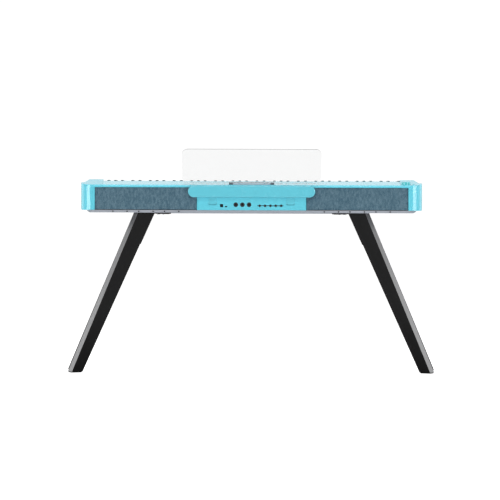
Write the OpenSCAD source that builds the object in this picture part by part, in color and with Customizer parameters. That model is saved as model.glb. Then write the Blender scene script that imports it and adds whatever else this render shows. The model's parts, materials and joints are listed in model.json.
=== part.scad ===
// Portable 88-key piano on four splayed board legs.
// X runs from the bass end to the treble end, Y from the player to the rear, Z up from the floor.
// Inside the modules Y is the distance behind the front face; in_case() moves it to the shared frame.

/* [Case] */
// Width of the case over both end cheeks
case_w = 1345; // [1330:1:1360]
// Depth of the case from the front face to the rear face
case_d = 284; // [280:1:290]
// Height of the case underside above the floor
underside_z = 632; // [600:1:680]
// Height of the grey pan rim
pan_h = 10; // [8:1:12]
// Width of each end cheek at the rear face
cheek_w = 56; // [50:1:58]
// Height of the case from its underside to the rear edge of the top
rear_h = 109; // [108:1:111]
// Height of the ridge behind the keys above the underside
crest_h = 126; // [124:0.5:127]
// Height of the end cheeks above the underside
cheek_h = 131.5; // [128:0.5:134]
// Wall thickness of the moulded covers
wall = 3; // [2:0.5:4]

/* [Keys] */
// Centre distance of the white keys
white_pitch = 23.5; // [23.5:0.1:23.6]
// Gap between neighbouring white keys
key_gap = 0.9; // [0.8:0.1:1.2]
// Width of the black keys and of the key levers
black_w = 12.6; // [12:0.1:12.8]
// Height of the white key tops above the underside
white_top_h = 116; // [114:0.5:117]
// Height of the black keys above the white keys
black_rise = 12.4; // [11:0.1:13]
// Depth of a white key
white_h = 20; // [18:1:21]
// Radial running clearance of the keys on their rod
key_clearance = 0.06; // [0.03:0.01:0.1]

/* [Handle] */
// Length of the handle bar
handle_l = 500; // [460:5:520]
// Height of the handle bar
handle_h = 46; // [40:1:46]
// Thickness of the handle bar
handle_t = 12; // [10:1:14]
// Distance of each handle arm from the middle
arm_x = 153; // [140:1:160]

/* [Music rest] */
// Width of the clear music rest at its top
rest_w = 549; // [480:1:560]
// Length of the music rest above its hinge
rest_l = 143.5; // [130:0.5:144]
// Thickness of the clear sheet
rest_t = 4; // [3:0.5:5]
// Angle the music rest leans back
rest_lean = 19; // [15:1:22]

/* [Legs] */
// Distance from the middle to the rear arris of a leg at its top
leg_top_x = 446.5; // [430:0.5:460]
// Distance the arris of a leg moves outward on the way to the floor
leg_splay = 260.8; // [200:0.2:280]
// Width of a leg board at its top
leg_w_top = 72.5; // [70:0.5:80]
// Width of a leg board at the floor
leg_w_foot = 47; // [40:0.1:60]
// Thickness of a leg board
leg_t = 37; // [30:1:38]
// Angle each leg board is turned away from the rear face
leg_turn = 29; // [20:1:35]
// Distance of each leg arris from the middle of the case depth
leg_y = 117; // [110:1:119]
// Extra half spacing of the front legs at their tops
front_spread_top = 6; // [0:0.1:12]
// Extra half spacing of the front legs at the floor
front_spread_foot = 10; // [0:0.1:18]

/* [Hidden] */
$fn = 48;

aqua = [0.43, 0.80, 0.88];
steel_grey = [0.60, 0.63, 0.68];
dark = [0.10, 0.10, 0.11];
far = 2000;
eps = 0.01;

// Heights above the floor
pan_top = underside_z + pan_h;
rear_z = underside_z + rear_h;
crest_z = underside_z + crest_h;
cheek_z = underside_z + cheek_h;
white_z = underside_z + white_top_h;
black_z = white_z + black_rise;
key_low_z = white_z - white_h;
cloth_low_z = pan_top + 2;
cloth_high_z = underside_z + 99.5;

// Distances behind the front face
slip_d = 9;
key_front = 12;
head_d = 50;
key_rear = 162;
cover_front = 164;
pivot_f = 212;
pivot_z = key_low_z + 3;
rod_r = 3;
lever_h = 10;
lever_end = 219;
baffle_f = 270;
cloth_f = 279;
cloth_t = 1.2;

// Half widths
half_w = case_w / 2;
cloth_x = half_w - cheek_w - 1;
key_end_x = 26 * white_pitch;
cheek_key_x = key_end_x + 1.2;
block_x = 587;
panel_x = 214.5;
pan_inset = 25;

// Octave layout, measured from the left edge of each C
octave = 7 * white_pitch;
first_c = -key_end_x + 2 * white_pitch;
black_at = [21.05, 49.45, 90.7, 117.5, 144.3];
lever_gap = 1.2;

// Music rest hinge
hinge_f = 268;
hinge_z = rear_z + 5;
hinge_half = 73;
bracket_w = 16;
reach_back = rest_l * sin(rest_lean) + rest_t / 2 * cos(rest_lean);
front_reach = (hinge_f + reach_back) / 2;

// Handle hinge
arm_w = 30;
arm_pivot_z = underside_z + 40;
arm_pivot_f = 279;
handle_z = underside_z + 83.6;
handle_f = case_d + 0.6;

// Stand
pad_t = 4;
lean_x = leg_splay / underside_z;

// ---------------------------------------------------------------- helpers

function unit(v) = v / norm(v);

// Points of one corner q = [x, y, radius] between its neighbours p and s
function corner(p, q, s, n) =
    len(q) < 3 || q[2] == 0 ? [[q[0], q[1]]] :
    let (
        a = unit([p[0] - q[0], p[1] - q[1]]),
        b = unit([s[0] - q[0], s[1] - q[1]]),
        half = acos(a * b) / 2,
        c = [q[0], q[1]] + unit(a + b) * q[2] / sin(half),
        from = [q[0], q[1]] + a * q[2] / tan(half) - c,
        to = [q[0], q[1]] + b * q[2] / tan(half) - c,
        start = atan2(from[1], from[0]),
        sweep = (atan2(to[1], to[0]) - start + 540) % 360 - 180
    )
    [for (i = [0 : n]) c + q[2] * [cos(start + sweep * i / n), sin(start + sweep * i / n)]];

// Polygon through points [x, y] or [x, y, radius]
module rounded(points, n = 8) {
    last = len(points);
    polygon([
        for (i = [0 : last - 1])
            each corner(points[(i + last - 1) % last], points[i], points[(i + 1) % last], n)
    ]);
}

module in_case() {
    translate([0, -front_reach, 0]) children();
}

// Extrudes a drawing whose axes are Y and Z from x0 to x1
module along_x(x0, x1) {
    translate([x0, 0, 0]) rotate([90, 0, 90]) linear_extrude(x1 - x0) children();
}

// Extrudes a drawing whose axes are X and Z from y0 to y1
module along_y(y0, y1) {
    translate([0, y1, 0]) rotate([90, 0, 0]) linear_extrude(y1 - y0) children();
}

// Extrudes a drawing whose axes are X and Y from z0 to z1
module along_z(z0, z1) {
    translate([0, 0, z0]) linear_extrude(z1 - z0) children();
}

// Box between two corners
module block(low, high) {
    translate(low) cube(high - low);
}

// Cylinder along Y from y0 to y1
module rod_y(x, z, r, y0, y1) {
    translate([x, y1, z]) rotate([90, 0, 0]) cylinder(h = y1 - y0, r = r);
}

// Cylinder along X from x0 to x1
module rod_x(y, z, r, x0, x1) {
    translate([x0, y, z]) rotate([0, 90, 0]) cylinder(h = x1 - x0, r = r);
}

module both_sides() {
    children();
    mirror([1, 0, 0]) children();
}

// ---------------------------------------------------------------- case

pan_x = half_w - pan_inset;
pan_front = 10;
pan_rear = case_d - 2;
pan_t = 2;
screw_x = [286, 342, 387, 443.5, 489, 545];
rim_screw_z = underside_z + 5;
column_x = [180, 340, 500, 600];
column_f = [40, 190];

module pan_outline(inset) {
    rounded([
        [-pan_x + inset, pan_front + inset, 28],
        [pan_x - inset, pan_front + inset, 28],
        [pan_x - inset, pan_rear - inset, 30],
        [-pan_x + inset, pan_rear - inset, 30]
    ]);
}

module bottom_pan() {
    chamfer = 6;
    tray_x = 317;
    tray_h = 2.8;
    color(steel_grey) in_case() difference() {
        union() {
            intersection() {
                along_z(underside_z, pan_top) pan_outline(0);
                along_y(0, case_d) polygon([
                    [-pan_x + chamfer * 2, underside_z],
                    [pan_x - chamfer * 2, underside_z],
                    [pan_x, underside_z + chamfer],
                    [pan_x, pan_top],
                    [-pan_x, pan_top],
                    [-pan_x, underside_z + chamfer]
                ]);
            }
            along_y(pan_front + 12, pan_rear - 0.5) polygon([
                [-tray_x, underside_z + 1],
                [-tray_x + tray_h, underside_z - tray_h],
                [tray_x - tray_h, underside_z - tray_h],
                [tray_x, underside_z + 1]
            ]);
        }
        along_z(underside_z + pan_t, pan_top + 1) pan_outline(pan_t);
        both_sides() for (x = screw_x) rod_y(x, rim_screw_z, 1.7, pan_rear - 4, pan_rear + 1);
        bracket_screw_positions() cylinder(h = 20, r = 2.6, center = true);
    }
}

module key_slip() {
    color(aqua) in_case() difference() {
        along_x(-cloth_x, cloth_x) rounded([
            [0, pan_top, 3],
            [slip_d, pan_top, 0],
            [slip_d, white_z - 10, 2],
            [0, white_z - 10, 6]
        ]);
        block([-cloth_x + 4, wall, pan_top - 1], [cloth_x - 4, slip_d + 1, white_z - 14]);
    }
}

// Treble end cheek; the bass one is its mirror image
module cheek_body() {
    deck_z = cloth_high_z + 7.5;
    difference() {
        intersection() {
            along_x(block_x, half_w) rounded([
                [0, pan_top, 4],
                [0, cheek_z - 5, 14],
                [cover_front, cheek_z, 25],
                [case_d, rear_z, 8],
                [case_d, pan_top, 3]
            ], 10);
            along_y(0, case_d) rounded([
                [block_x, pan_top],
                [block_x, cheek_z, 1.5],
                [half_w - 30, cheek_z, 5],
                [half_w - 14, cheek_z - 12, 5],
                [half_w, cheek_z - 13, 5],
                [half_w, pan_top, 7]
            ], 10);
            along_z(pan_top, cheek_z) rounded([
                [block_x, 0],
                [half_w, 0, 30],
                [half_w, case_d, 45],
                [block_x, case_d]
            ], 14);
        }
        block([block_x - 1, -1, 0], [cheek_key_x, cover_front, far]);
        block([block_x - 1, -1, 0], [cloth_x + 1, cover_front, white_z - 10]);
        block([block_x - 1, cover_front - 1, 0], [cloth_x + 1, 274, deck_z]);
        block([block_x - 1, 273, 0], [cloth_x + 1, case_d + 1, cloth_high_z]);
        along_z(pan_top + wall, deck_z - 6) rounded([
            [cheek_key_x, 5],
            [half_w - 5, 5, 25],
            [half_w - 5, case_d - 6, 40],
            [cheek_key_x, case_d - 6]
        ]);
    }
}

module cheek_treble() {
    color(aqua) in_case() cheek_body();
}

knob_x = -607.5;
knob_f = 256;
knob_r = 18;
knob_low_z = rear_z - 1;
knob_high_z = rear_z + 14;
power_x = -637;
power_f = 262;
power_r = 5;

module cheek_bass() {
    color(aqua) in_case() difference() {
        mirror([1, 0, 0]) cheek_body();
        translate([knob_x, knob_f, knob_low_z - 0.5]) cylinder(h = 40, r = knob_r + 0.6);
        translate([knob_x, knob_f, pan_top]) cylinder(h = 200, r = 4.2);
        translate([power_x, power_f, pan_top]) cylinder(h = 200, r = power_r + 0.3);
    }
}

button_x = [-40, 0, 40];
button_f = 196;
button_w = 18;
button_d = 7;

module pill(w, h) {
    square([w - h, h], center = true);
    both_sides() translate([(w - h) / 2, 0]) circle(d = h);
}

function cover_z(f) = crest_z - (f - cover_front) * (crest_z - rear_z) / (case_d - cover_front);

module top_cover() {
    trough_r = 9;
    color(aqua) in_case() difference() {
        union() {
            along_x(-block_x + 0.3, block_x - 0.3) rounded([
                [cover_front, crest_z, 1.5],
                [case_d, rear_z, 8],
                [case_d, cloth_high_z, 0.8],
                [case_d - wall, cloth_high_z, 0.8],
                [case_d - wall, rear_z - wall, 5],
                [cover_front + wall, crest_z - wall - 0.3, 0.5],
                [cover_front + wall, crest_z - 8],
                [cover_front, crest_z - 8]
            ]);
            intersection() {
                rod_x(hinge_f, hinge_z, trough_r + 2.5, -hinge_half - bracket_w - 3, hinge_half + bracket_w + 3);
                block([-far, hinge_f - 14, 0], [far, case_d - wall, cover_z(hinge_f) - 1]);
            }
        }
        rod_x(hinge_f, hinge_z, trough_r - 1, -hinge_half - bracket_w - 0.3, hinge_half + bracket_w + 0.3);
        for (x = button_x) translate([x, button_f, 0]) along_z(underside_z, crest_z + 5) pill(button_w + 0.6, button_d + 0.6);
    }
}

speaker_x = 415;
speaker_z = (cloth_low_z + cloth_high_z) / 2;
speaker_r = 40;
cone_r = 34;

module rear_baffle() {
    boss = 5;
    color(dark) in_case() difference() {
        union() {
            block([-cloth_x, baffle_f, pan_top], [cloth_x, baffle_f + wall, cloth_high_z - 0.5]);
            both_sides() for (x = screw_x)
                block([x - boss, baffle_f, underside_z + pan_t + 0.2], [x + boss, pan_rear - pan_t - 0.1, pan_top + 2]);
        }
        both_sides() rod_y(speaker_x, speaker_z, cone_r + 1, baffle_f - 1, baffle_f + wall + 1);
        both_sides() for (x = screw_x) rod_y(x, rim_screw_z, 1.55, baffle_f + 1, case_d);
        block([-panel_x - 4, baffle_f - 1, pan_top + 4], [panel_x + 4, baffle_f + wall + 1, cloth_high_z - 4]);
    }
}

module grille_frames() {
    slot_w = 7;
    rib = 3;
    low_x = panel_x + 3;
    slots = floor((cloth_x - low_x - 10) / (slot_w + rib));
    color(dark) in_case() both_sides() difference() {
        block([low_x, baffle_f + wall + 0.5, cloth_low_z + 1], [cloth_x - 1, cloth_f - 0.2, cloth_high_z - 1]);
        for (i = [0 : slots - 1], row = [0, 1])
            block(
                [low_x + 6 + i * (slot_w + rib), baffle_f, cloth_low_z + 6 + row * 40],
                [low_x + 6 + slot_w + i * (slot_w + rib), cloth_f + 1, cloth_low_z + 41 + row * 40]
            );
    }
}

module grille_cloth() {
    block([panel_x + 0.8, cloth_f, cloth_low_z], [cloth_x, cloth_f + cloth_t, cloth_high_z - 0.2]);
}

module grille_cloth_treble() {
    color([0.36, 0.49, 0.56]) in_case() grille_cloth();
}

module grille_cloth_bass() {
    color([0.36, 0.49, 0.56]) in_case() mirror([1, 0, 0]) grille_cloth();
}

usb_x = 118;
usb_z = underside_z + 28;
usb_w = 12;
flat_x = 100;
flat_z = underside_z + 24.5;
flat_w = 9.4;
flat_h = 4.4;
large_jack_x = [62, 36, 10];
large_jack_z = underside_z + 32;
large_jack_r = 8.8;
small_jack_x = [-32, -53, -74, -95, -116];
small_jack_z = underside_z + 28;
small_jack_r = 4.8;
panel_f = case_d - wall;

// Upright outline with rounded lower corners, used by a handle arm and by its pocket
module arm_outline(w, low, high, r) {
    rounded([[-w / 2, low, r], [w / 2, low, r], [w / 2, high], [-w / 2, high]]);
}

module port_panel() {
    color(aqua) in_case() difference() {
        union() {
            along_x(-panel_x, panel_x) rounded([
                [case_d, pan_top + 0.2, 1],
                [case_d, cloth_high_z - 0.3, 0.6],
                [panel_f, cloth_high_z - 0.3],
                [panel_f, pan_top + 0.2]
            ], 4);
            both_sides() block([panel_x - wall, baffle_f + wall + 0.2, pan_top + 0.2],
                [panel_x, panel_f + eps, cloth_high_z - 0.3]);
            both_sides() for (side = [-1, 1])
                translate([arm_x + side * (arm_w / 2 + 5.5), 0, arm_pivot_z])
                    block([-4, arm_pivot_f - 5, -6], [4, panel_f + eps, 6]);
        }
        both_sides() translate([arm_x, 0, 0])
            along_y(baffle_f, case_d + 1) arm_outline(arm_w + 1, arm_pivot_z - 9.5, handle_z - 9, 3.5);
        both_sides() rod_x(arm_pivot_f, arm_pivot_z, 2.06, arm_x - arm_w, arm_x + arm_w);
        block([usb_x - usb_w / 2 - 0.2, 0, usb_z - 6.2], [usb_x + usb_w / 2 + 0.2, far, usb_z + 6.2]);
        translate([flat_x, 0, flat_z]) along_y(0, far) pill(flat_w + 0.4, flat_h + 0.4);
        for (x = large_jack_x) rod_y(x, large_jack_z, large_jack_r + 0.2, 200, far);
        for (x = small_jack_x) rod_y(x, small_jack_z, small_jack_r + 0.2, 200, far);
        block([small_jack_x[4] - 10, case_d - 1, small_jack_z - 1.6], [small_jack_x[0] + 10, far, small_jack_z + 1.6]);
    }
}

module carry_handle() {
    edge = 4;
    pin_r = 2.06;
    end_r = handle_h / 2;
    straight = handle_l / 2 - end_r;
    color(aqua) in_case() difference() {
        union() {
            along_x(-straight, straight) rounded([
                [handle_f, handle_z - end_r, edge],
                [handle_f + handle_t, handle_z - end_r, edge],
                [handle_f + handle_t, handle_z + end_r, edge],
                [handle_f, handle_z + end_r, edge]
            ]);
            both_sides() translate([straight, handle_f + handle_t, handle_z]) rotate([90, 90, 0])
                rotate_extrude(angle = 180) rounded([[0, 0], [end_r, 0, edge], [end_r, handle_t, edge], [0, handle_t]]);
            both_sides() translate([arm_x, 0, 0]) {
                along_y(arm_pivot_f - 4, case_d) arm_outline(arm_w, arm_pivot_z - 8, handle_z - 10, 6);
                block([-arm_w / 2 + 2, case_d - 1, handle_z - 20], [arm_w / 2 - 2, handle_f + 4, handle_z - 10.5]);
            }
        }
        both_sides() rod_x(arm_pivot_f, arm_pivot_z, pin_r, arm_x - arm_w, arm_x + arm_w);
    }
}

module handle_pins() {
    color([0.75, 0.76, 0.78]) in_case() both_sides()
        rod_x(arm_pivot_f, arm_pivot_z, 2, arm_x - arm_w / 2 - 8.5, arm_x + arm_w / 2 + 8.5);
}

// ---------------------------------------------------------------- music rest

// Moves a part drawn upright above the hinge line to the leaning rest position
module leaning() {
    translate([0, hinge_f, hinge_z]) rotate([-rest_lean, 0, 0]) children();
}

slot_low = 2.6;
clamp_x = [-50, 0, 50];
clamp_screw_h = 4.8;

module music_rest() {
    notch = 1.2;
    color([0.92, 0.96, 0.97, 0.4]) in_case() leaning() difference() {
        along_y(-rest_t / 2, rest_t / 2) rounded([
            [-rest_w / 2 + 2.5, slot_low + 0.1, 20],
            [rest_w / 2 - 2.5, slot_low + 0.1, 20],
            [rest_w / 2, rest_l, 22],
            [-rest_w / 2, rest_l, 22]
        ], 12);
        both_sides()
            block([hinge_half - notch, -10, -1], [hinge_half + bracket_w + notch, 10, 10]);
        for (x = clamp_x) rod_y(x, clamp_screw_h, 1.1, -10, 10);
    }
}

module rest_clamp() {
    color(steel_grey) in_case() leaning() difference() {
        along_x(-hinge_half + 0.3, hinge_half - 0.3) rounded([
            [-5.5, -6, 3], [5.5, -6, 3], [5.5, 6.6, 1.5], [-5.5, 6.6, 1.5]
        ]);
        block([-hinge_half, -rest_t / 2 - 0.05, slot_low], [hinge_half, rest_t / 2 + 0.05, 10]);
        both_sides() rod_x(0, 0, 2.05, hinge_half - 12, hinge_half + 1);
        for (x = clamp_x) rod_y(x, clamp_screw_h, 1.1, -10, 10);
    }
}

module rest_brackets() {
    color([0.32, 0.34, 0.37]) in_case() both_sides() difference() {
        intersection() {
            along_x(hinge_half, hinge_half + bracket_w) rounded([
                [hinge_f - 7.5, hinge_z - 8, 4],
                [hinge_f + 7.5, hinge_z - 8, 4],
                [hinge_f + 7.5, hinge_z + 6, 6],
                [hinge_f - 7.5, hinge_z + 6, 6]
            ]);
            rod_x(hinge_f, hinge_z, 7.9, hinge_half, hinge_half + bracket_w);
        }
        rod_x(hinge_f, hinge_z, 2.05, hinge_half - 1, hinge_half + bracket_w - 3);
    }
}

module rest_pins() {
    color([0.75, 0.76, 0.78]) in_case() both_sides()
        rod_x(hinge_f, hinge_z, 2, hinge_half - 11, hinge_half + bracket_w - 3.5);
}

module clamp_screws() {
    color([0.75, 0.76, 0.78]) in_case() leaning() for (x = clamp_x) {
        rod_y(x, clamp_screw_h, 1, -5.4, 5.6);
        rod_y(x, clamp_screw_h, 1.6, 5.5, 6.6);
    }
}

// ---------------------------------------------------------------- keys

// Lever and pivot boss shared by every key, over [x0, x1]
module key_lever(x0, x1) {
    difference() {
        union() {
            block([x0, key_rear - 1, pivot_z - lever_h / 2], [x1, lever_end, pivot_z + lever_h / 2]);
            rod_x(pivot_f, pivot_z, 5.6, x0, x1);
        }
        rod_x(pivot_f, pivot_z, rod_r + key_clearance, x0 - 1, x1 + 1);
    }
}

// White key with its head over [x0, x1], its tail over [t0, t1] and its lever over [l0, l1]
module white_key(x0, x1, t0, t1, l0, l1) {
    shell = 2.2;
    head_end = key_front + head_d;
    difference() {
        union() {
            along_x(x0 + key_gap / 2, x1 - key_gap / 2) rounded([
                [key_front, key_low_z],
                [key_front, white_z, 1.8],
                [head_end, white_z],
                [head_end, key_low_z]
            ], 5);
            block([t0, head_end - 1, key_low_z], [t1, key_rear, white_z]);
        }
        block([x0 + key_gap / 2 + shell, key_front + shell, 0],
            [x1 - key_gap / 2 - shell, head_end - shell, white_z - shell]);
        block([t0 + shell, head_end + 1, 0], [t1 - shell, 115, white_z - shell]);
        block([t0 + shell, 133, 0], [t1 - shell, key_rear - 8, white_z - shell]);
    }
    key_lever(l0, l1);
}

// Black key centred on x
module black_key(x) {
    front = 66;
    base_z = white_z - 2;
    crown = 9.8;
    intersection() {
        along_x(x - black_w / 2, x + black_w / 2) rounded([
            [front, base_z - 14],
            [front, white_z],
            [front + 6, black_z, 3],
            [key_rear - 1, black_z, 0.8],
            [key_rear - 1, base_z - 14]
        ], 6);
        along_y(front, key_rear) rounded([
            [x - black_w / 2, base_z - 14],
            [x + black_w / 2, base_z - 14],
            [x + black_w / 2, base_z],
            [x + crown / 2, black_z, 1.4],
            [x - crown / 2, black_z, 1.4],
            [x - black_w / 2, base_z]
        ], 5);
    }
    key_lever(x - black_w / 2 + 0.3, x + black_w / 2 - 0.3);
}

// Edges of the key tail that starts beside black key a and ends beside black key b
function after_black(a) = black_at[a] + black_w / 2 + lever_gap;
function before_black(b) = black_at[b] - black_w / 2 - lever_gap;

// Left edge of the tail of white key w, 0 for C to 6 for B
function tail_low(w) = [
    0.45, after_black(0), after_black(1), 3 * white_pitch + 0.45, after_black(2), after_black(3), after_black(4)
][w];

// Right edge of the tail of white key w
function tail_high(w) = [
    before_black(0), before_black(1), 3 * white_pitch - 0.45, before_black(2), before_black(3),
    before_black(4), octave - 0.45
][w];

rib_gap = 1.8;

// The white keys of one note name, from octave k0 to octave k1
module white_keys(w, k0, k1) {
    color([0.96, 0.96, 0.94]) in_case() for (k = [k0 : k1]) {
        c = first_c + k * octave;
        lowest = k < 0 && w == 5;
        highest = k == 7;
        t0 = lowest ? w * white_pitch + 0.45 : tail_low(w);
        t1 = highest ? white_pitch - 0.45 : tail_high(w);
        l0 = w == 0 ? rib_gap : t0;
        l1 = w == 6 ? octave - rib_gap : t1;
        white_key(c + w * white_pitch, c + (w + 1) * white_pitch, c + t0, c + t1, c + l0, c + l1);
    }
}

// The black keys of one note name, from octave k0 to octave 6
module black_keys(b, k0) {
    color(dark) in_case() for (k = [k0 : 6]) black_key(first_c + k * octave + black_at[b]);
}

module keys_c() { white_keys(0, 0, 7); }
module keys_d() { white_keys(1, 0, 6); }
module keys_e() { white_keys(2, 0, 6); }
module keys_f() { white_keys(3, 0, 6); }
module keys_g() { white_keys(4, 0, 6); }
module keys_a() { white_keys(5, -1, 6); }
module keys_b() { white_keys(6, -1, 6); }
module keys_c_sharp() { black_keys(0, 0); }
module keys_d_sharp() { black_keys(1, 0); }
module keys_f_sharp() { black_keys(2, 0); }
module keys_g_sharp() { black_keys(3, 0); }
module keys_a_sharp() { black_keys(4, -1); }

// ---------------------------------------------------------------- key action

bed_z = underside_z + 72;
bed_t = 2;
shelf_z = bed_z + 10;
board_t = 1.6;
frame_x = key_end_x + 2.5;

module key_frame() {
    rib_t = 2;
    color([0.55, 0.57, 0.60]) in_case() difference() {
        union() {
            block([-frame_x, 18, bed_z], [frame_x, 224, bed_z + bed_t]);
            block([-frame_x, 18, bed_z], [frame_x, 20, shelf_z]);
            block([-frame_x, 18, shelf_z - bed_t], [frame_x, 50, shelf_z]);
            for (f = [98, 146]) block([-frame_x, f, bed_z], [frame_x, f + 2, shelf_z]);
            for (k = [0 : 7]) translate([first_c + k * octave - rib_t / 2, 0, 0]) rod_rib(rib_t);
            both_sides() translate([key_end_x + 0.6, 0, 0]) rod_rib(1.9);
            both_sides() for (x = column_x, f = column_f)
                translate([x, f, underside_z + pan_t]) cylinder(h = bed_z - underside_z - pan_t + eps, r = 7);
        }
        rod_x(pivot_f, pivot_z, rod_r + 0.02, -far, far);
    }
}

module rod_rib(t) {
    along_x(0, t) rounded([
        [198, bed_z],
        [224, bed_z],
        [pivot_f + 6, pivot_z + 6, 5],
        [pivot_f - 6, pivot_z + 6, 5]
    ]);
}

module key_pivot_rod() {
    color([0.78, 0.79, 0.80]) in_case() rod_x(pivot_f, pivot_z, rod_r, -frame_x, frame_x);
}

// Middle of the lever of each key in one octave
key_mids = [
    for (w = [0 : 6]) (tail_low(w) + tail_high(w)) / 2,
    for (b = black_at) b
];

// Calls its children at the lever of each of the 88 keys
module each_key() {
    for (k = [0 : 6], mid = key_mids) translate([first_c + k * octave + mid, 0, 0]) children();
    for (i = [5, 6, 11]) translate([first_c - octave + key_mids[i], 0, 0]) children();
    translate([first_c + 7 * octave + white_pitch / 2, 0, 0]) children();
}

module key_springs() {
    leaf_t = 0.5;
    leaf_w = 5;
    color([0.80, 0.62, 0.32]) in_case() {
        block([-key_end_x, 152, bed_z + bed_t], [key_end_x, 164, bed_z + bed_t + 1]);
        each_key() along_x(-leaf_w / 2, leaf_w / 2) polygon([
            [160, bed_z + bed_t + 0.5],
            [160, bed_z + bed_t + 1 + leaf_t],
            [190, pivot_z - lever_h / 2 - 1.4],
            [196, pivot_z - lever_h / 2 - 1.6],
            [196, pivot_z - lever_h / 2 - 1.6 - leaf_t],
            [190, pivot_z - lever_h / 2 - 1.4 - leaf_t]
        ]);
    }
}

module front_felt() {
    color([0.62, 0.10, 0.12]) in_case()
        along_x(-key_end_x, key_end_x) rounded([
            [22, shelf_z], [46, shelf_z], [46, shelf_z + 4, 1.5], [22, shelf_z + 4, 1.5]
        ], 4);
}

module contact_board() {
    color([0.10, 0.38, 0.22]) in_case()
        block([-key_end_x, 97, shelf_z], [key_end_x, 149, shelf_z + board_t]);
}

module contact_rubber() {
    strip_z = shelf_z + board_t;
    dome_h = 4.8;
    color([0.75, 0.75, 0.72]) in_case() {
        block([-key_end_x, 114, strip_z], [key_end_x, 134, strip_z + 1.5]);
        each_key() translate([0, 124, strip_z + 1]) cylinder(h = dome_h + 0.5, r1 = 4.4, r2 = 3);
    }
}

// ---------------------------------------------------------------- electronics

board_z = underside_z + pan_t + 8;

// Circuit board on four stand-offs
module board_on_posts(x0, x1, f0, f1) {
    block([x0, f0, board_z], [x1, f1, board_z + board_t]);
    for (x = [x0 + 6, x1 - 6], f = [f0 + 6, f1 - 6])
        translate([x, f, underside_z + pan_t]) cylinder(h = board_z - underside_z - pan_t + eps, r = 3);
}

module main_board() {
    color([0.10, 0.38, 0.22]) in_case() {
        board_on_posts(-128, 130, 150, 264);
        for (i = [0 : 3]) translate([-80 + i * 50, 190, board_z + board_t - eps]) cube([18 + i * 3, 18, 2.2]);
        for (i = [0 : 5]) translate([-100 + i * 38, 232, board_z + board_t - eps]) cylinder(h = 12, r = 4);
    }
}

module amplifier_board() {
    fin_t = 2;
    color([0.10, 0.38, 0.22]) in_case() {
        board_on_posts(210, 310, 150, 230);
        for (i = [0 : 6]) block([225 + i * 9, 165, board_z + board_t - eps], [225 + fin_t + i * 9, 205, board_z + 22]);
        block([225, 165, board_z + board_t - eps], [281, 205, board_z + board_t + 3]);
    }
}

module wiring_loom() {
    run_z = underside_z + pan_t + 4;
    r = 2.2;
    color([0.15, 0.15, 0.16]) in_case() {
        rod_x(238, run_z, r, 150, 408);
        translate([150, 238, run_z]) sphere(r = r);
        translate([408, 238, run_z]) sphere(r = r);
        rod_x(246, run_z, r, -408, 200);
        translate([200, 246, run_z]) sphere(r = r);
        translate([-408, 246, run_z]) sphere(r = r);
        both_sides() translate([408, 238, run_z]) cylinder(h = 11, r = r);
        mirror([1, 0, 0]) rod_y(408, run_z, r, 238, 246);
    }
}

// Solid of revolution about a speaker axis; its drawing has the radius across and the depth up
module on_speaker_axis() {
    translate([speaker_x, baffle_f, speaker_z]) rotate([90, 0, 0]) rotate_extrude() children();
}

module speaker_baskets() {
    color([0.25, 0.26, 0.28]) in_case() both_sides() on_speaker_axis() polygon([
        [cone_r + 1, 0], [speaker_r, 0], [speaker_r, 2.5], [cone_r + 2, 2.5],
        [24, 20], [24, 24], [22, 24], [22, 38], [0, 38], [0, 30], [16, 30], [16, 22], [22, 18], [cone_r + 1, 4]
    ]);
}

module speaker_cones() {
    color([0.12, 0.12, 0.13]) in_case() both_sides() on_speaker_axis() polygon([
        [cone_r + 0.6, 0.6], [cone_r + 0.6, 2], [cone_r - 4, 2.6], [12, 18], [0, 18], [0, 12],
        [8, 14], [11, 16], [cone_r - 4, 0.8], [cone_r - 2, -1]
    ]);
}

module usb_socket() {
    shell = 0.8;
    back = 262;
    color([0.70, 0.71, 0.73]) in_case() difference() {
        block([usb_x - usb_w / 2, back, usb_z - 6], [usb_x + usb_w / 2, case_d - 0.5, usb_z + 6]);
        difference() {
            block([usb_x - usb_w / 2 + shell, back + 4, usb_z - 6 + shell],
                [usb_x + usb_w / 2 - shell, case_d, usb_z + 6 - shell]);
            block([usb_x - 2.8, back, usb_z - 1.6], [usb_x + 2.8, case_d - 2, usb_z + 1.6]);
        }
    }
}

module power_socket() {
    back = 266;
    color([0.70, 0.71, 0.73]) in_case() translate([flat_x, 0, flat_z]) difference() {
        along_y(back, case_d - 0.5) pill(flat_w, flat_h);
        difference() {
            along_y(back + 3, case_d) pill(flat_w - 1.2, flat_h - 1.2);
            block([-2.6, back, -0.4], [2.6, case_d - 2, 0.4]);
        }
    }
}

module large_jacks() {
    back = 250;
    color(dark) in_case() for (x = large_jack_x) difference() {
        union() {
            rod_y(x, large_jack_z, large_jack_r, 262, case_d + 0.6);
            block([x - 9, back, large_jack_z - 9], [x + 9, panel_f - 1, large_jack_z + 9]);
        }
        rod_y(x, large_jack_z, 3.25, back + 2, case_d + 1);
    }
}

module small_jacks() {
    back = 264;
    groove_l = 9.6;
    groove_h = 1.4;
    color(dark) in_case() difference() {
        union() {
            for (x = small_jack_x) {
                rod_y(x, small_jack_z, small_jack_r, back, case_d + 0.4);
                block([x - 6, back, small_jack_z - 5.5], [x + 6, panel_f - 1, small_jack_z + 5.5]);
            }
            block([small_jack_x[4] - groove_l, case_d - 0.9, small_jack_z - groove_h],
                [small_jack_x[0] + groove_l, case_d - 0.1, small_jack_z + groove_h]);
        }
        for (x = small_jack_x) rod_y(x, small_jack_z, 1.8, back + 1.5, case_d + 1);
    }
}

// ---------------------------------------------------------------- controls

stem_r = 3;

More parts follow.
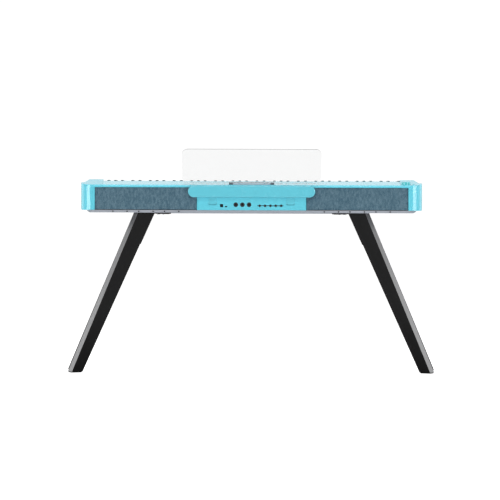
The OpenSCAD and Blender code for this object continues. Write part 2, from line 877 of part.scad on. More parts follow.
module volume_knob() {
    color([0.30, 0.74, 0.77]) in_case() translate([knob_x, knob_f, 0]) {
        rotate_extrude($fn = 64) rounded([
            [0, knob_low_z],
            [knob_r, knob_low_z],
            [knob_r - 0.8, knob_high_z, 2.2],
            [knob_r - 5, knob_high_z],
            [knob_r - 7, knob_high_z - 0.8],
            [0, knob_high_z - 0.8]
        ], 5);
        translate([0, 0, knob_low_z - 14]) cylinder(h = 14 + eps, r = stem_r);
    }
}

module volume_encoder() {
    color([0.55, 0.57, 0.60]) in_case() difference() {
        union() {
            translate([knob_x - 7, knob_f - 7, knob_low_z - 18]) cube([14, 14, 8]);
            translate([knob_x, knob_f, knob_low_z - 18]) cylinder(h = 12, r = 4);
        }
        translate([knob_x, knob_f, knob_low_z - 15]) cylinder(h = 40, r = stem_r + 0.06);
    }
}

module power_button() {
    low = rear_z - 6;
    color([0.45, 0.72, 0.76]) in_case() translate([power_x, power_f, low]) rotate_extrude($fn = 40) rounded([
        [0, 0], [power_r, 0], [power_r, 11, 1], [0, 11]
    ], 4);
}

button_low_z = cover_z(button_f) - 5;
button_travel = 1.2;

module push_button(x) {
    color([0.92, 0.94, 0.95]) in_case() translate([x, button_f, 0]) {
        along_z(button_low_z, cover_z(button_f) + 0.8) pill(button_w, button_d);
        along_z(button_low_z, button_low_z + 1.2) pill(button_w + 3, button_d + 3);
    }
}

module tone_button() { push_button(button_x[0]); }
module rhythm_button() { push_button(button_x[1]); }
module function_button() { push_button(button_x[2]); }

module button_switches() {
    switch_h = 2.8;
    top_z = button_low_z - button_travel - 0.1;
    base_z = top_z - switch_h;
    color(dark) in_case() {
        for (x = button_x) translate([x - 3, button_f - 3, base_z - eps]) cube([6, 6, switch_h + eps]);
        block([button_x[0] - 20, button_f - 8, base_z - board_t], [button_x[2] + 20, button_f + 8, base_z]);
        translate([power_x, power_f, rear_z - 12]) cylinder(h = 4, r = 3);
        translate([power_x - 6, power_f - 6, rear_z - 13.5]) cube([12, 12, 1.6]);
    }
}

// ---------------------------------------------------------------- stand

mid_f = case_d / 2 + 6;

// Board between heights z0 and z1; in the turned frame its rear arris starts at the origin at the top.
// outer and inner are the offsets of its two narrow sides from the arris, each [at the top, at the
// floor], and depth holds the distances of its two wide faces behind the arris.
module turned_board(z0, z1, lean, outer, inner, depth) {
    across = lean * cos(leg_turn);
    along = lean * sin(leg_turn);
    function side(offset, z) =
        across * (underside_z - z) - offset[0] - (offset[1] - offset[0]) * (underside_z - z) / underside_z;
    function face(offset, z) = -along * (underside_z - z) - offset;
    intersection() {
        along_y(-far / 4, far / 4) polygon([
            [side(outer, z1), z1], [side(inner, z1), z1], [side(inner, z0), z0], [side(outer, z0), z0]
        ]);
        along_x(-far / 4, far / 4) polygon([
            [face(depth[0], z1), z1], [face(depth[1], z1), z1],
            [face(depth[1], z0), z0], [face(depth[0], z0), z0]
        ]);
    }
}

// Places a turned board as the rear treble leg, or as the front one
module leg_place(front = false) {
    x = leg_top_x + (front ? front_spread_top : 0);
    if (front)
        translate([x, mid_f - leg_y, 0]) mirror([0, 1, 0]) rotate([0, 0, leg_turn]) children();
    else
        translate([x, mid_f + leg_y, 0]) rotate([0, 0, leg_turn]) children();
}

function leg_lean(front) = lean_x + (front ? (front_spread_foot - front_spread_top) / underside_z : 0);

leg_sides = [leg_w_top, leg_w_foot];
bolt_z = [underside_z - 100, underside_z - 45];
bolt_r = 4;
seat_gap = 0.05;

// Calls its children on each bolt axis, with Z running into the leg and Z = 0 on the leg's inner side
module leg_bolt_axes(front) {
    across = leg_lean(front) * cos(leg_turn);
    along = leg_lean(front) * sin(leg_turn);
    taper = (leg_w_top - leg_w_foot) / underside_z;
    for (z = bolt_z) {
        drop = underside_z - z;
        translate([(across + taper) * drop - leg_w_top, -along * drop - leg_t / 2, z])
            rotate([0, 90 - atan(across + taper), 0]) children();
    }
}

module leg(front) {
    in_case() leg_place(front) difference() {
        turned_board(pad_t, underside_z - seat_gap, leg_lean(front), [0, 0], leg_sides, [0, leg_t]);
        leg_bolt_axes(front) translate([0, 0, -5]) cylinder(h = 30, r = bolt_r + 0.1);
    }
}

module leg_rear_treble() { color(dark) leg(false); }
module leg_rear_bass() { color(dark) mirror([1, 0, 0]) leg(false); }
module leg_front_treble() { color(dark) leg(true); }
module leg_front_bass() { color(dark) mirror([1, 0, 0]) leg(true); }

plate_t = 5.5;
plate_x0 = 342;
plate_x1 = 376;
flange_t = 4;
flange_l = 125;
flange_margin = 3;
neck_w = 20;
neck_inset = 1;

module bracket_screw_positions() {
    both_sides() for (f = [mid_f - 70, mid_f + 70], x = [plate_x0 + 8, plate_x1 - 8])
        translate([x, f, underside_z]) children();
}

// Plate under the case with one flange down the inner side of each leg of a pair
module leg_brackets() {
    joint = [for (w = leg_sides) w + 0.05];
    depth = [flange_margin, leg_t - flange_margin];
    plate_z = underside_z - plate_t;
    color(dark) in_case() both_sides() difference() {
        union() {
            block([plate_x0, mid_f - 82, plate_z], [plate_x1, mid_f + 82, underside_z - seat_gap]);
            for (front = [false, true]) leg_place(front) {
                turned_board(underside_z - flange_l, underside_z - seat_gap, leg_lean(front),
                    joint, joint + [flange_t, flange_t], depth);
                turned_board(plate_z + neck_inset, underside_z - seat_gap, leg_lean(front),
                    joint + [neck_inset, neck_inset], joint + [neck_w, neck_w],
                    depth + [neck_inset, -neck_inset]);
            }
        }
        for (front = [false, true]) leg_place(front) leg_bolt_axes(front)
            translate([0, 0, -10]) cylinder(h = 15, r = bolt_r + 0.1);
        for (f = [mid_f - 70, mid_f + 70], x = [plate_x0 + 8, plate_x1 - 8])
            translate([x, f, underside_z]) cylinder(h = 20, r = 2.6, center = true);
    }
}

module stand_bolts() {
    head_t = 4;
    color([0.75, 0.76, 0.78]) in_case() {
        both_sides() for (front = [false, true]) leg_place(front) leg_bolt_axes(front) {
            translate([0, 0, -flange_t - 0.1 - eps]) cylinder(h = 28, r = bolt_r);
            translate([0, 0, -flange_t - 0.1 - head_t]) cylinder(h = head_t, r = 7);
        }
        bracket_screw_positions() {
            translate([0, 0, -plate_t - 0.5]) cylinder(h = plate_t + 4, r = 2.5);
            translate([0, 0, -plate_t - 2.2]) cylinder(h = 2.2, r = 4.6);
        }
    }
}

module foot_pads() {
    margin = 2;
    inner = leg_sides - [margin, margin];
    color(dark) in_case() both_sides() for (front = [false, true]) leg_place(front)
        turned_board(0, pad_t, leg_lean(front), [margin, margin], inner, [margin, leg_t - margin]);
}

module rubber_feet() {
    color(dark) in_case() both_sides() for (f = [30, 262])
        translate([332, f, underside_z - 6]) rotate_extrude() rounded([
            [0, 0], [9, 0, 1.5], [10, 6], [0, 6]
        ], 4);
}

module case_screws() {
    color([0.30, 0.31, 0.33]) in_case() both_sides() for (x = screw_x) {
        rod_y(x, rim_screw_z, 1.5, baffle_f + 2, pan_rear + 0.5);
        rod_y(x, rim_screw_z, 2.8, pan_rear, pan_rear + 1.2);
    }
}

// ---------------------------------------------------------------- drawing

bottom_pan();
key_slip();
cheek_bass();
cheek_treble();
top_cover();
rear_baffle();
grille_frames();
grille_cloth_bass();
grille_cloth_treble();
port_panel();
carry_handle();
handle_pins();
music_rest();
rest_clamp();
rest_brackets();
rest_pins();
clamp_screws();
keys_c();
keys_c_sharp();
keys_d();
keys_d_sharp();
keys_e();
keys_f();
keys_f_sharp();
keys_g();
keys_g_sharp();
keys_a();
keys_a_sharp();
keys_b();
key_frame();
key_pivot_rod();
key_springs();
front_felt();
contact_board();
contact_rubber();
main_board();
amplifier_board();
wiring_loom();
speaker_baskets();
speaker_cones();
usb_socket();
power_socket();
large_jacks();
small_jacks();
volume_knob();
volume_encoder();
power_button();
tone_button();
rhythm_button();
function_button();
button_switches();
leg_rear_bass();
leg_rear_treble();
leg_front_bass();
leg_front_treble();
leg_brackets();
stand_bolts();
foot_pads();
rubber_feet();
case_screws();
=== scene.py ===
"""Looks of a portable 88-key piano on four splayed board legs, seen from behind.

Lengths are in metres. Object texture coordinates equal the shared frame at rest, so a texture scale of
1000 repeats once per millimetre.
"""
import json
import math

import bmesh
import bpy
from mathutils import Matrix, Vector


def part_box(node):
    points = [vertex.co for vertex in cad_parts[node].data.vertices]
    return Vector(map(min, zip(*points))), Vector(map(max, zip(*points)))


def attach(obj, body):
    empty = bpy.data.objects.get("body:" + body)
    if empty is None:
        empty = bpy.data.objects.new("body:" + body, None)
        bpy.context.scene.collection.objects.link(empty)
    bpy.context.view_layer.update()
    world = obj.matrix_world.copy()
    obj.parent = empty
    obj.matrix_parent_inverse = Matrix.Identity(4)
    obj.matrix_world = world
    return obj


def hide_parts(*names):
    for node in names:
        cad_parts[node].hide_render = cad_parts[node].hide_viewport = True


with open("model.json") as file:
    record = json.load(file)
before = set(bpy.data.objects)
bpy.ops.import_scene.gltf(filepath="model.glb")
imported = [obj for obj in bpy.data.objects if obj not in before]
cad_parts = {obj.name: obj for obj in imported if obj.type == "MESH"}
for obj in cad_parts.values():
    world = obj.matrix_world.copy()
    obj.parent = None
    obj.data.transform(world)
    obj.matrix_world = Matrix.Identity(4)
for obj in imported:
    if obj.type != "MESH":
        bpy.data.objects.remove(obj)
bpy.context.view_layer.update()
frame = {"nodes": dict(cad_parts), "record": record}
nodes = frame["nodes"]

MM = 0.001
PER_MM = 1000.0


# ---------------------------------------------------------------- node helpers

def linear(red, green, blue):
    """Linear colour of an 8-bit screen colour."""
    def channel(value):
        value /= 255.0
        return value / 12.92 if value <= 0.04045 else ((value + 0.055) / 1.055) ** 2.4
    return (channel(red), channel(green), channel(blue), 1.0)


def shade(colour, factor):
    """A colour made lighter or darker."""
    return tuple(min(1.0, c * factor) for c in colour[:3]) + (1.0,)


class Graph:
    """Short calls that add nodes to one material or world."""

    def __init__(self, owner):
        owner.use_nodes = True
        self.tree = owner.node_tree
        self.coordinates = None

    def add(self, kind, inputs=None, **settings):
        made = self.tree.nodes.new("ShaderNode" + kind)
        for key, value in settings.items():
            setattr(made, key, value)
        for key, value in (inputs or {}).items():
            if isinstance(value, bpy.types.NodeSocket):
                self.tree.links.new(value, made.inputs[key])
            else:
                made.inputs[key].default_value = value
        return made

    def place(self):
        if self.coordinates is None:
            self.coordinates = self.add("TexCoord").outputs["Object"]
        return self.coordinates

    def noise(self, scale, detail=2.0, roughness=0.5, stretch=None):
        """Noise from 0 to 1; stretch lengthens its features along each axis."""
        where = self.place()
        if stretch:
            squeeze = tuple(1.0 / s for s in stretch)
            where = self.add("Mapping", {"Vector": where, "Scale": squeeze}).outputs[0]
        inputs = {"Vector": where, "Scale": scale, "Detail": detail, "Roughness": roughness}
        made = self.add("TexNoise", inputs)
        return made.outputs["Fac"]

    def span(self, value, low, high, start=0.0, end=1.0):
        """Maps a value from [start, end] to [low, high]."""
        made = self.add("MapRange", {"Value": value, 1: start, 2: end, 3: low, 4: high})
        return made.outputs["Result"]

    def mix(self, factor, first, second, blend="MIX"):
        made = self.add("Mix", data_type="RGBA", blend_type=blend)
        for index, value in ((0, factor), (6, first), (7, second)):
            if isinstance(value, bpy.types.NodeSocket):
                self.tree.links.new(value, made.inputs[index])
            else:
                made.inputs[index].default_value = value
        return made.outputs[2]

    def math(self, operation, first, second=0.0):
        return self.add("Math", {0: first, 1: second}, operation=operation).outputs[0]

    def bump(self, height, depth, normal=None):
        inputs = {"Height": height, "Distance": depth, "Strength": 1.0}
        if normal is not None:
            inputs["Normal"] = normal
        return self.add("Bump", inputs).outputs["Normal"]

    def surface(self, **values):
        """Sets inputs of the material's Principled BSDF by name."""
        shader = self.tree.nodes["Principled BSDF"]
        for key, value in values.items():
            socket = shader.inputs[key.replace("_", " ")]
            if isinstance(value, bpy.types.NodeSocket):
                self.tree.links.new(value, socket)
            else:
                socket.default_value = value


def graph_of(name):
    material = bpy.data.materials.new(name)
    return material, Graph(material)


# ---------------------------------------------------------------- materials

def plastic(name, colour, roughness=0.35, grain=0.5, relief=0.008, mottle=0.03, coat=0.0, specular=0.5):
    """Moulded plastic: faint flow marks, fine mould texture and a painted highlight that lightens convex
    edges.
    """
    material, g = graph_of(name)
    flow = g.noise(9.0, 3.0, 0.6, (3.0, 1.0, 1.0))
    tone = g.mix(flow, shade(colour, 1.0 - mottle), shade(colour, 1.0 + mottle))
    # Painted highlight: convex edges are lightened towards a paler copy of the colour.
    edge_highlight = g.span(g.add("NewGeometry").outputs["Pointiness"], 0.0, 0.22, 0.52, 0.62)
    tone = g.mix(edge_highlight, tone, shade(colour, 1.25))
    smudge = g.noise(22.0, 4.0, 0.6)
    texture = g.noise(PER_MM / grain, 2.0, 0.6)
    g.surface(
        Base_Color=tone,
        Roughness=g.span(smudge, roughness - 0.05, roughness + 0.05, 0.3, 0.7),
        Normal=g.bump(texture, relief * MM),
        Specular_IOR_Level=specular,
        Coat_Weight=coat,
        Coat_Roughness=0.08,
    )
    return material


def metal(name, colour, roughness=0.3, brush=(40.0, 1.0, 1.0), relief=0.01):
    """Metal with fine marks drawn along one axis and a little tarnish."""
    material, g = graph_of(name)
    marks = g.noise(2.2 * PER_MM, 2.0, 0.6, brush)
    tarnish = g.noise(35.0, 4.0, 0.6)
    g.surface(
        Base_Color=g.mix(tarnish, shade(colour, 0.86), shade(colour, 1.06)),
        Metallic=1.0,
        Roughness=g.span(marks, roughness - 0.07, roughness + 0.09, 0.25, 0.75),
        Normal=g.bump(marks, relief * MM),
    )
    return material


def powder_coat(name, colour, roughness=0.45):
    """Sprayed metal: an orange-peel surface and slightly uneven gloss."""
    material, g = graph_of(name)
    peel = g.noise(PER_MM / 1.4, 1.0, 0.4)
    dust = g.noise(18.0, 5.0, 0.6)
    g.surface(
        Base_Color=g.mix(dust, shade(colour, 0.93), shade(colour, 1.05)),
        Roughness=g.span(dust, roughness - 0.06, roughness + 0.06, 0.3, 0.7),
        Normal=g.bump(peel, 0.03 * MM),
    )
    return material


def lacquered_board(name):
    """Black satin lacquer over long board fibres; the two narrow sides are painted grey as a painted
    reflection of the side light, with painted shade towards the top, and convex edges carry a painted
    highlight.
    """
    material, g = graph_of(name)
    facing = g.add("SeparateXYZ", {0: g.add("NewGeometry").outputs["True Normal"]}).outputs["X"]
    narrow_sides = g.span(g.math("ABSOLUTE", facing), 0.0, 1.0, 0.66, 0.72)
    fibre = g.noise(0.28 * PER_MM, 4.0, 0.65, (1.0, 1.0, 18.0))
    peel = g.noise(PER_MM / 2.5, 1.0, 0.4)
    rubbed = g.noise(6.0, 4.0, 0.6, (1.0, 1.0, 2.5))
    height = g.math("ADD", g.math("MULTIPLY", fibre, 0.6), peel)
    # Painted highlight: convex edges of the black lacquer are lightened.
    edge_highlight = g.span(g.add("NewGeometry").outputs["Pointiness"], 0.0, 0.5, 0.52, 0.62)
    tone = g.mix(fibre, (0.0028, 0.0028, 0.0030, 1.0), (0.0062, 0.0060, 0.0058, 1.0))
    tone = g.mix(edge_highlight, tone, (0.02, 0.02, 0.021, 1.0))
    height_up = g.add("SeparateXYZ", {0: g.place()}).outputs["Z"]
    # Painted shade: the grey narrow sides darken towards the top, where the case above shades the legs.
    shade_under_case = g.span(height_up, 0.0, 1.0, 0.28, 0.60)
    # Painted reflection: the narrow sides are grey, standing in for side light reflected in the black
    # lacquer.
    side_glare_tone = g.mix(fibre, (0.185, 0.185, 0.19, 1.0), (0.265, 0.265, 0.27, 1.0))
    side_glare_tone = g.mix(shade_under_case, side_glare_tone, (0.11, 0.11, 0.115, 1.0))
    sheen = g.span(height_up, 0.05, 0.13, 0.0, 0.25)
    g.surface(
        Base_Color=g.mix(narrow_sides, tone, side_glare_tone),
        Roughness=g.span(rubbed, 0.27, 0.38, 0.3, 0.7),
        Specular_IOR_Level=g.math("MAXIMUM", sheen, g.span(narrow_sides, 0.0, 0.5)),
        Normal=g.bump(height, 0.02 * MM),
    )
    return material


def melange_cloth(name):
    """Plain-woven speaker cloth spun from dark, blue and pale fibres."""
    yarn = 1.5
    material, g = graph_of(name)
    axes = g.add("SeparateXYZ", {0: g.place()})
    across = g.math("MULTIPLY", axes.outputs["X"], math.pi * PER_MM / yarn)
    along = g.math("MULTIPLY", axes.outputs["Z"], math.pi * PER_MM / yarn)
    warp = g.math("ABSOLUTE", g.math("SINE", across))
    weft = g.math("ABSOLUTE", g.math("SINE", along))
    crossing = g.math("MULTIPLY", g.math("SINE", g.math("MULTIPLY", across, 0.5)),
                      g.math("SINE", g.math("MULTIPLY", along, 0.5)))
    over = g.span(crossing, 0.0, 1.0, -0.15, 0.15)
    weave = g.math("ADD", g.math("MULTIPLY", warp, over),
                   g.math("MULTIPLY", weft, g.math("SUBTRACT", 1.0, over)))
    fuzz = g.noise(3.5 * PER_MM, 3.0, 0.7)
    slub = g.noise(0.16 * PER_MM, 4.0, 0.75, (1.0, 1.0, 2.2))
    fleck = g.noise(0.5 * PER_MM, 3.0, 0.8, (1.0, 1.0, 2.2))
    tone = g.mix(g.span(slub, 0.0, 1.0, 0.36, 0.64), linear(58, 92, 110), linear(98, 128, 143))
    pale = g.span(fleck, 0.0, 0.55, 0.56, 0.72)
    tone = g.mix(pale, tone, linear(150, 168, 176))
    deep = g.span(fleck, 0.5, 0.0, 0.3, 0.44)
    tone = g.mix(deep, tone, linear(34, 66, 82))
    tone = g.mix(g.span(weave, 0.35, 0.0, 0.1, 0.7), tone, linear(24, 44, 54))
    g.surface(
        Base_Color=tone,
        Roughness=0.92,
        Specular_IOR_Level=0.25,
        Sheen_Weight=0.25,
        Sheen_Roughness=0.5,
        Normal=g.bump(fuzz, 0.05 * MM, g.bump(weave, 0.28 * MM)),
    )
    return material


def felt(name, colour):
    """Pressed wool with loose hairs and clumps."""
    material, g = graph_of(name)
    hair = g.noise(1.1 * PER_MM, 5.0, 0.8)
    clump = g.noise(0.15 * PER_MM, 3.0, 0.6)
    g.surface(
        Base_Color=g.mix(clump, shade(colour, 0.8), shade(colour, 1.15)),
        Roughness=1.0,
        Sheen_Weight=0.5,
        Specular_IOR_Level=0.15,
        Normal=g.bump(hair, 0.35 * MM),
    )
    return material


def rubber(name, colour, roughness=0.7):
    """Soft rubber with a grey bloom and fine pores."""
    material, g = graph_of(name)
    bloom = g.noise(60.0, 5.0, 0.7)
    pores = g.noise(PER_MM / 0.8, 3.0, 0.6)
    g.surface(
        Base_Color=g.mix(bloom, colour, shade(colour, 1.6)),
        Roughness=g.span(bloom, roughness - 0.08, roughness + 0.1, 0.3, 0.7),
        Specular_IOR_Level=0.3,
        Normal=g.bump(pores, 0.04 * MM),
    )
    return material


def clear_acrylic(name):
    """Polished cast sheet with a faint tint, hair-fine scuffs and darker sawn edges."""
    lean = math.radians(19)
    across_sheet = (0.0, math.cos(lean), -math.sin(lean))
    material, g = graph_of(name)
    scuff = g.noise(0.4 * PER_MM, 3.0, 0.6, (14.0, 1.0, 1.0))
    normal = g.add("TexCoord").outputs["Normal"]
    facing = g.add("VectorMath", {0: normal, 1: across_sheet}, operation="DOT_PRODUCT").outputs["Value"]
    sawn = g.span(g.math("ABSOLUTE", facing), 1.0, 0.0, 0.8, 0.95)
    tone = g.mix(g.noise(3.0), (0.955, 0.958, 0.958, 1.0), (0.965, 0.968, 0.968, 1.0))
    g.surface(
        Base_Color=g.mix(sawn, tone, (0.25, 0.26, 0.26, 1.0)),
        Transmission_Weight=1.0,
        IOR=1.49,
        Roughness=g.span(scuff, 0.0, 0.03, 0.45, 0.8),
    )
    return material


def circuit_board(name):
    """Green solder mask over a maze of copper tracks."""
    material, g = graph_of(name)
    cells = g.add("TexVoronoi", {"Vector": g.place(), "Scale": 0.22 * PER_MM}, distance="MANHATTAN",
                  feature="F1")
    track = g.span(cells.outputs["Distance"], 0.0, 1.0, 0.42, 0.5)
    g.surface(
        Base_Color=g.mix(track, (0.004, 0.060, 0.026, 1.0), (0.012, 0.130, 0.052, 1.0)),
        Roughness=g.span(g.noise(50.0), 0.28, 0.42),
        Normal=g.bump(track, 0.03 * MM),
    )
    return material


def doped_paper(name):
    """Black speaker paper with visible pulp."""
    material, g = graph_of(name)
    pulp = g.noise(0.6 * PER_MM, 5.0, 0.7)
    g.surface(
        Base_Color=g.mix(pulp, (0.006, 0.006, 0.007, 1.0), (0.022, 0.022, 0.024, 1.0)),
        Roughness=0.75,
        Normal=g.bump(pulp, 0.1 * MM),
    )
    return material


AQUA = linear(96, 201, 220)
HANDLE = linear(96, 196, 214)
KNOB = linear(70, 186, 192)

finish = {
    "aqua_shell": plastic("aqua_shell_look", AQUA, 0.25, coat=0.8, specular=0.3),
    "handle_plastic": plastic("handle_plastic_look", HANDLE, 0.25, coat=0.8, specular=0.3),
    "knob_plastic": plastic("knob_plastic_look", KNOB, 0.28, coat=0.4),
    "pan_grey": plastic("pan_grey_look", linear(150, 155, 164), 0.5, 0.8, 0.03),
    "black_plastic": plastic("black_plastic_look", linear(30, 32, 35), 0.5, 0.7, 0.03),
    "white_key": plastic("white_key_look", linear(243, 243, 238), 0.16, 1.2, 0.004, 0.012, coat=0.5),
    "black_key": plastic("black_key_look", linear(26, 26, 28), 0.38, 0.6, 0.02, 0.08),
    "button_white": plastic("button_white_look", linear(232, 237, 240), 0.42, 0.6, 0.015),
    "speaker_cloth": melange_cloth("speaker_cloth_look"),
    "clear_acrylic": clear_acrylic("clear_acrylic_look"),
    "satin_aluminium": powder_coat("satin_aluminium_look", linear(196, 203, 210), 0.38),
    "dark_bracket": powder_coat("dark_bracket_look", linear(98, 102, 108)),
    "steel": metal("steel_look", (0.60, 0.61, 0.63, 1.0), 0.24),
    "zinc_steel": powder_coat("zinc_steel_look", linear(196, 199, 204)),
    "spring_bronze": metal("spring_bronze_look", (0.70, 0.48, 0.20, 1.0), 0.3, (1.0, 30.0, 1.0)),
    "red_felt": felt("red_felt_look", linear(160, 26, 34)),
    "circuit_board": circuit_board("circuit_board_look"),
    "silicone": rubber("silicone_look", linear(188, 188, 182), 0.5),
    "cable": rubber("cable_look", (0.008, 0.008, 0.009, 1.0), 0.45),
    "basket_steel": powder_coat("basket_steel_look", linear(52, 54, 58)),
    "cone_paper": doped_paper("cone_paper_look"),
    "leg_black": lacquered_board("leg_black_look"),
    "foot_rubber": rubber("foot_rubber_look", (0.006, 0.006, 0.006, 1.0)),
    "black_steel": powder_coat("black_steel_look", linear(24, 25, 27), 0.4),
}


# ---------------------------------------------------------------- carried-over CAD nodes

# Radius that each node's moulded, ground or pressed edges are broken by, in millimetres
EDGE = {
    "bottom_pan": 0.8, "key_slip": 0.8, "cheek_bass": 0.8, "cheek_treble": 0.8, "top_cover": 0.5,
    "port_panel": 0.5, "carry_handle": 0.8, "music_rest": 1.6, "rest_clamp": 0.4, "rest_brackets": 0.6,
    "leg_rear_bass": 1.6, "leg_rear_treble": 1.6, "leg_front_bass": 1.6, "leg_front_treble": 1.6,
    "leg_brackets": 0.6, "foot_pads": 0.8, "large_jacks": 0.4, "small_jacks": 0.3, "usb_socket": 0.15,
    "power_socket": 0.1, "tone_button": 0.5, "rhythm_button": 0.5, "function_button": 0.5,
    "volume_knob": 0.3, "stand_bolts": 0.3, "rear_baffle": 0.4,
}
KEY_EDGE = 0.5


def soften_edges(obj, width):
    """Joins the tessellated faces, breaks the sharp edges and shades the result smoothly."""
    weld = obj.modifiers.new("weld", "WELD")
    weld.merge_threshold = 0.002 * MM
    flat = obj.modifiers.new("flatten", "DECIMATE")
    flat.decimate_type = "DISSOLVE"
    flat.angle_limit = math.radians(0.8)
    bevel = obj.modifiers.new("broken edges", "BEVEL")
    bevel.width = width * MM
    bevel.segments = 2
    bevel.limit_method = "ANGLE"
    bevel.angle_limit = math.radians(32)
    bevel.use_clamp_overlap = True
    shading = obj.modifiers.new("shading", "WEIGHTED_NORMAL")
    shading.keep_sharp = False


slot_of = {part["node"]: part["material_slot"] for part in frame["record"]["subparts"]}
for name, obj in nodes.items():
    obj.data.materials.clear()
    obj.data.materials.append(finish[slot_of[name]])
    width = EDGE.get(name, KEY_EDGE if name.startswith("keys_") else None)
    if width:
        soften_edges(obj, width)


# ---------------------------------------------------------------- speaker cloth

def steps(low, high, pitch, margin):
    """Places between low and high: close together within the margin at both ends, then pitch apart."""
    edge = [margin * s for s in (0.0, 0.08, 0.25, 0.5, 0.75)]
    count = max(2, round((high - low - 2 * margin) / pitch))
    middle = [low + margin + (high - low - 2 * margin) * i / count for i in range(count + 1)]
    return [low + e for e in edge] + middle + [high - e for e in reversed(edge)]


def speaker_cloth(name, node):
    """Cloth stretched over its frame: rolled edges, a slight crown and shallow puckers from the tension."""
    low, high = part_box(node)
    roll = 1.0 * MM
    xs = steps(low.x, high.x, 2.4 * MM, roll)
    zs = steps(low.z, high.z, 2.0 * MM, roll)
    depth = high.y - low.y
    mesh = bmesh.new()

    def drop(distance):
        """How far the rolled edge has turned back at this distance from the outline."""
        inside = max(0.0, 1.0 - distance / roll)
        return roll * (1.0 - math.sqrt(max(0.0, 1.0 - inside * inside)))

    def face_y(x, z):
        rim = min(x - low.x, high.x - x, z - low.z, high.z - z)
        pull = min(1.0, rim / (12 * MM))
        pucker = 0.10 * math.sin(x * 820) * math.exp(-rim / (9 * MM))
        drape = 0.07 * math.sin(x * 96 + 1.3 * math.sin(z * 140)) * math.sin(z * 118 + 0.8)
        crown = 0.35 * pull * (2 - pull)
        return high.y - 0.45 * MM + (crown + pull * drape + pucker * min(1.0, rim / roll)) * MM - drop(rim)

    front = [[mesh.verts.new((x, face_y(x, z), z)) for z in zs] for x in xs]
    back = [[mesh.verts.new((x, low.y, z)) for z in (zs[0], zs[-1])] for x in (xs[0], xs[-1])]
    for i in range(len(xs) - 1):
        for j in range(len(zs) - 1):
            mesh.faces.new((front[i][j], front[i][j + 1], front[i + 1][j + 1], front[i + 1][j]))
    bottom = [row[0] for row in front]
    top = [row[-1] for row in front]
    mesh.faces.new([back[0][0], *bottom, back[1][0]])
    mesh.faces.new([back[1][1], *reversed(top), back[0][1]])
    mesh.faces.new([back[0][1], *reversed(front[0]), back[0][0]])
    mesh.faces.new([back[1][0], *front[-1], back[1][1]])
    mesh.faces.new([back[0][0], back[1][0], back[1][1], back[0][1]])
    bmesh.ops.recalc_face_normals(mesh, faces=mesh.faces)
    data = bpy.data.meshes.new(name)
    mesh.to_mesh(data)
    mesh.free()
    for polygon in data.polygons:
        polygon.use_smooth = len(polygon.vertices) == 4
    data.materials.append(finish["speaker_cloth"])
    cloth = bpy.data.objects.new(name, data)
    bpy.context.scene.collection.objects.link(cloth)
    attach(cloth, "piano")
    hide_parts(node)


speaker_cloth("woven_cloth_bass", "grille_cloth_bass")
speaker_cloth("woven_cloth_treble", "grille_cloth_treble")


# ---------------------------------------------------------------- stage, light and camera

def plane(name, half, z):
    """A level square of the given half width."""
    mesh = bpy.data.meshes.new(name)
    corners = [(-half, -half, z), (half, -half, z), (half, half, z), (-half, half, z)]
    mesh.from_pydata(corners, [], [(0, 1, 2, 3)])
    obj = bpy.data.objects.new(name, mesh)
    bpy.context.scene.collection.objects.link(obj)
    return obj


def pale_floor():
    """White floor that glows for the camera only, so that it runs into the backdrop without a line."""
    floor = plane("floor", 40.0, 0.0)
    material, g = graph_of("floor_look")
    g.surface(
        Base_Color=g.mix(g.noise(0.8), (0.90, 0.90, 0.90, 1.0), (0.93, 0.93, 0.93, 1.0)),
        Roughness=0.9,
        Specular_IOR_Level=0.1,
        Emission_Color=(1.0, 1.0, 1.0, 1.0),
        Emission_Strength=g.math("MULTIPLY", g.add("LightPath").outputs["Is Camera Ray"], 0.75),
    )
    floor.data.materials.append(material)


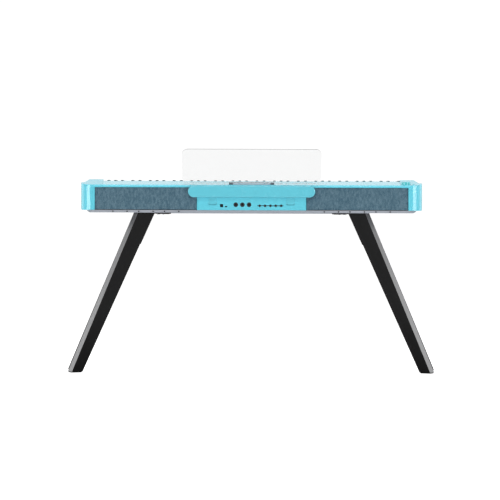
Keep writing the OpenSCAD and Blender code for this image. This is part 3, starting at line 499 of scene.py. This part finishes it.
def studio_world():
    """White backdrop; in reflections the ceiling and the camera's side of the room are dimmer.

    A small patch straight behind the piano is a little brighter. The camera itself sees even white.
    """
    world = bpy.data.worlds.new("studio")
    bpy.context.scene.world = world
    g = Graph(world)
    background = g.tree.nodes["Background"]
    direction = g.add("TexCoord").outputs["Generated"]
    axes = g.add("SeparateXYZ", {0: direction})
    towards_camera = axes.outputs["Y"]
    room = g.span(towards_camera, 0.92, 0.34, 0.1, 0.8)
    room = g.math("MULTIPLY", room, g.span(axes.outputs["Z"], 1.0, 0.25, 0.3, 0.85))
    room = g.math("ADD", room, g.span(towards_camera, 0.0, 0.06, -0.965, -0.99))
    seen = g.add("LightPath").outputs["Is Camera Ray"]
    strength = g.math("MAXIMUM", g.math("MULTIPLY", seen, 1.05), room)
    background.inputs["Color"].default_value = (1.0, 1.0, 1.0, 1.0)
    g.tree.links.new(strength, background.inputs["Strength"])


def softbox(name, place, target, width, height, radiance):
    """Area light of a given radiance, aimed at a point."""
    light = bpy.data.lights.new(name, "AREA")
    light.shape = "RECTANGLE"
    light.size = width
    light.size_y = height
    light.energy = radiance * math.pi * width * height
    obj = bpy.data.objects.new(name, light)
    obj.location = place
    obj.rotation_euler = (Vector(target) - Vector(place)).to_track_quat("-Z", "Y").to_euler()
    bpy.context.scene.collection.objects.link(obj)


def lights():
    """Two side lights, two strips that draw a highlight down the rounded ends, and two lights overhead."""
    middle = (0.0, 0.0, 0.5)
    softbox("side_light_bass", (-3.2, -0.9, 0.9), middle, 1.8, 1.8, 1.0)
    softbox("side_light_treble", (3.2, -0.9, 0.9), middle, 1.8, 1.8, 1.0)
    softbox("strip_light_bass", (-4.35, 4.85, 1.2), middle, 3.8, 1.3, 6.5)
    softbox("strip_light_treble", (4.35, 4.85, 1.2), middle, 3.8, 1.3, 6.5)
    softbox("front_overhead_light", (0.0, 2.4, 3.6), middle, 3.4, 1.2, 3.2)
    softbox("overhead_light", (0.0, -0.1, 3.2), middle, 3.4, 1.4, 2.6)


def camera():
    """Long lens square behind the rear face, a little above it, with a slight roll."""
    distance = 12.0
    rise = 0.1965
    width_seen = 1.965
    roll = math.radians(0.18)
    rear_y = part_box("port_panel")[1].y
    aim = Vector((0.0056, rear_y, 0.4861))
    data = bpy.data.cameras.new("camera")
    data.sensor_width = 36.0
    data.lens = data.sensor_width * distance / width_seen
    data.clip_end = 200.0
    obj = bpy.data.objects.new("camera", data)
    obj.location = aim + Vector((0.0, distance, rise))
    level = (aim - obj.location).to_track_quat("-Z", "Y").to_matrix()
    obj.rotation_euler = (level @ Matrix.Rotation(roll, 3, "Z")).to_euler()
    bpy.context.scene.collection.objects.link(obj)
    bpy.context.scene.camera = obj


pale_floor()
studio_world()
lights()
camera()
bpy.context.scene.view_settings.view_transform = "Standard"
